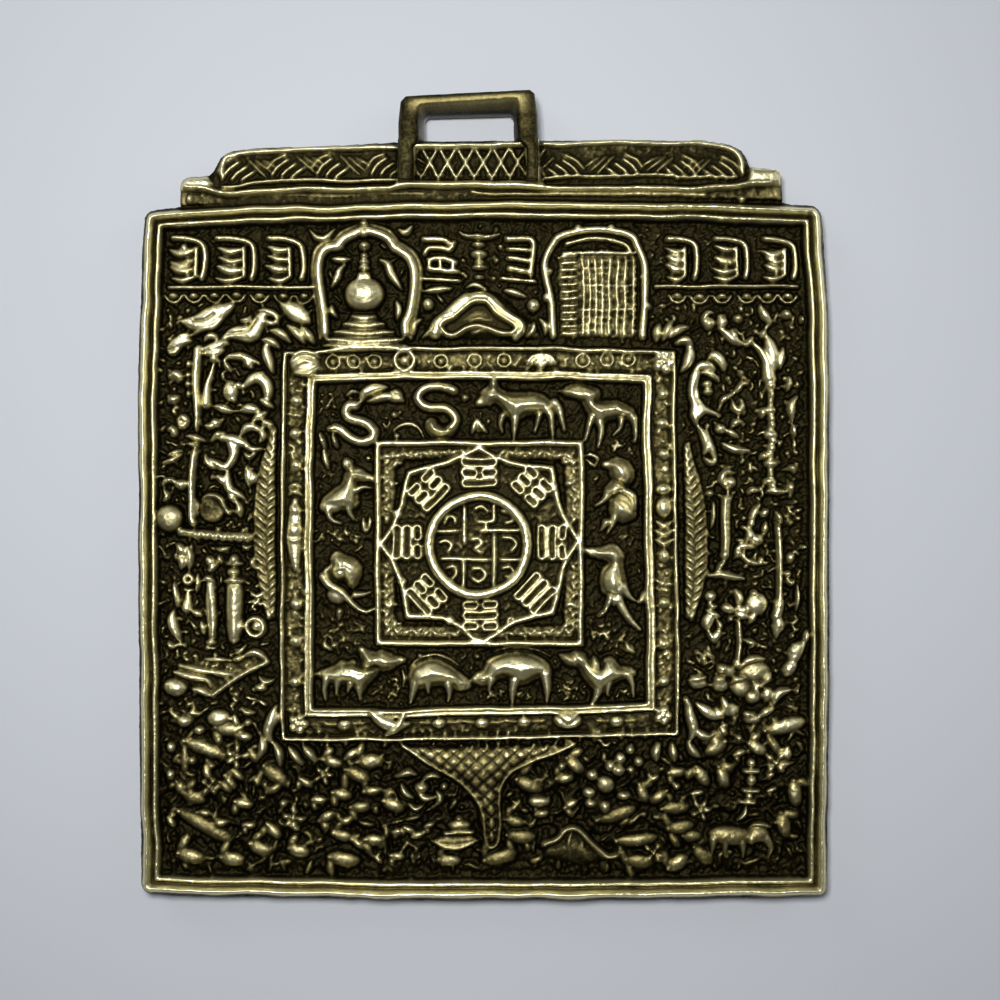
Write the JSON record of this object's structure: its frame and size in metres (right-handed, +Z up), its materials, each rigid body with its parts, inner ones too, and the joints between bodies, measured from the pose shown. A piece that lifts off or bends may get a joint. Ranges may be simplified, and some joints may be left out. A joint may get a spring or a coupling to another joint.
{
  "type": "amulet pendant",
  "caption": "Square cast brass calendar amulet: tortoise diagram, zodiac animals and offerings in low relief under a stepped head with a rectangular strap loop.",
  "frame": {"origin": "middle of the flat underside of the strap loop's top bar, where the cord or strap bears", "axes": "+Z up towards the loop, +X to the right as the face is seen, -Y the way the decorated face looks, +Y out of the plain back"},
  "size_m": [0.0691, 0.004, 0.0801],
  "materials": {
    "brass_ground": "darkened cast ground, patina in the recesses",
    "brass_relief": "aged satin, part patinated",
    "brass_high": "handled, worn bright on the high places"
  },
  "bodies": {
    "root": {"animal_bird": "brass_high", "animal_dog": "brass_high", "animal_dragon": "brass_high", "animal_hare": "brass_high", "animal_horse": "brass_high", "animal_monkey": "brass_high", "animal_mouse": "brass_high", "animal_ox": "brass_high", "animal_pig": "brass_high", "animal_sheep": "brass_high", "animal_snake": "brass_high", "animal_tiger": "brass_high", "banner_staff": "brass_high", "elephant": "brass_high", "flank_scales_left": "brass_relief", "flank_scales_right": "brass_relief", "flower_right": "brass_high", "ground_plate": "brass_ground", "hanging_loop": "brass_high", "inner_border": "brass_high", "inscription_tablet": "brass_relief", "jar": "brass_high", "jewel_sphere": "brass_high", "lotus_left": "brass_high", "lower_ledge": "brass_high", "medallion": "brass_high", "mirror_disc": "brass_high", "mountain": "brass_relief", "offering_bowl": "brass_high", "ornament_row_left": "brass_relief", "ornament_row_middle": "brass_relief", "ornament_row_right": "brass_relief", "paw_lower_left": "brass_high", "paw_lower_right": "brass_high", "paw_upper_left": "brass_high", "paw_upper_right": "brass_high", "plume_column": "brass_high", "rim_frame": "brass_high", "rope_bar": "brass_relief", "shell_frame": "brass_high", "spear": "brass_high", "staff_right": "brass_high", "star_plate": "brass_relief", "stupa": "brass_high", "stupa_niche_arch": "brass_relief", "tablet_east": "brass_relief", "tablet_niche_arch": "brass_relief", "tablet_north": "brass_relief", "tablet_north_east": "brass_relief", "tablet_north_west": "brass_relief", "tablet_south": "brass_relief", "tablet_south_east": "brass_relief", "tablet_south_west": "brass_relief", "tablet_west": "brass_relief", "tail_scales": "brass_relief", "tall_vase": "brass_high", "tortoise_head": "brass_high", "upper_rail_left": "brass_relief", "upper_rail_right": "brass_relief"}
  },
  "joints": []
}
